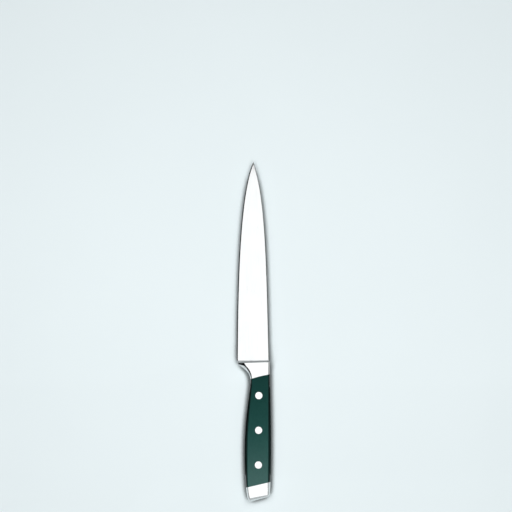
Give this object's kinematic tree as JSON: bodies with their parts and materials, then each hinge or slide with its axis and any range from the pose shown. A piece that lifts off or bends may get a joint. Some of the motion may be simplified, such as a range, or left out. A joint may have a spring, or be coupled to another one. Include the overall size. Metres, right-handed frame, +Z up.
{
  "type": "ham knife",
  "caption": "Forged full-tang slicing knife with a tapered pointed blade, a bolster with finger guard, riveted dark handle scales and a slanted steel butt cap.",
  "frame": {"origin": "middle of the underside of the bounding box, on the surface that the knife lies on with its right side down", "axes": "+Y from the butt to the blade's point, +X from the cutting edge to the spine, +Z up through the thickness, out of the left side of the handle"},
  "size_m": [0.0308, 0.307, 0.0152],
  "materials": {
    "forged_steel": "polished blade with fine lengthwise lines, satin bolster",
    "dark_scale": "semi-gloss green-black plastic",
    "fitting_steel": "polished rivet heads and butt plates"
  },
  "bodies": {
    "root": {"blade_forging": "forged_steel", "left_scale": "dark_scale", "right_scale": "dark_scale", "left_butt_plate": "fitting_steel", "right_butt_plate": "fitting_steel", "front_rivet_tube": "fitting_steel", "front_rivet_pin": "fitting_steel", "middle_rivet_tube": "fitting_steel", "middle_rivet_pin": "fitting_steel", "rear_rivet_tube": "fitting_steel", "rear_rivet_pin": "fitting_steel", "upper_butt_dowel": "fitting_steel", "lower_butt_dowel": "fitting_steel"}
  },
  "joints": []
}
